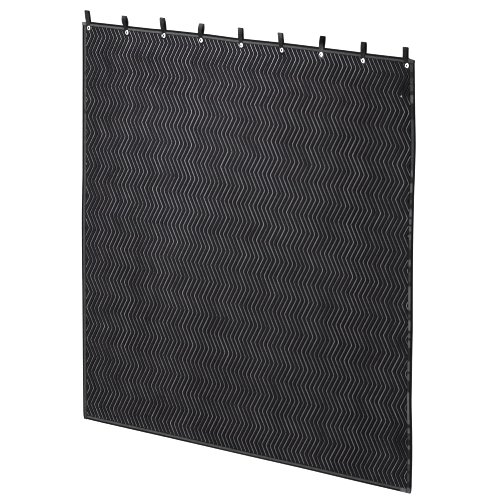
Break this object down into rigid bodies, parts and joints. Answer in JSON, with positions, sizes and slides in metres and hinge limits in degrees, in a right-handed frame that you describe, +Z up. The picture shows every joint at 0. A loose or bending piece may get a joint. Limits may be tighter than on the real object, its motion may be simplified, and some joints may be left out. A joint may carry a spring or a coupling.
{
  "type": "sound dampening blanket",
  "caption": "Quilted blanket with taped edges and zigzag stitching that hangs by webbing loops, each clamped to the top edge by an eyelet, to dampen sound.",
  "frame": {"origin": "the middle of the cloth's top edge, halfway through its thickness", "axes": "+X along the top edge, to the right seen from the front; the front faces -Y; +Z up"},
  "size_m": [2.4384, 0.024, 2.09],
  "materials": {
    "quilted_cloth": "matte black woven cover, quilted in white thread",
    "edge_tape": "matte black folded tape with a pale zigzag topstitch",
    "webbing": "close black webbing with a faint sheen",
    "plated_metal": "bright plating"
  },
  "bodies": {
    "root": {"quilted_panel": "quilted_cloth", "heading_strip": "quilted_cloth", "edge_tape_top": "edge_tape", "edge_tape_bottom": "edge_tape", "edge_tape_left": "edge_tape", "edge_tape_right": "edge_tape", "loop_1": "webbing", "eyelet_1": "plated_metal", "loop_2": "webbing", "eyelet_2": "plated_metal", "loop_3": "webbing", "eyelet_3": "plated_metal", "loop_4": "webbing", "eyelet_4": "plated_metal", "loop_5": "webbing", "eyelet_5": "plated_metal", "loop_6": "webbing", "eyelet_6": "plated_metal", "loop_7": "webbing", "eyelet_7": "plated_metal", "loop_8": "webbing", "eyelet_8": "plated_metal", "loop_9": "webbing", "eyelet_9": "plated_metal"}
  },
  "joints": []
}
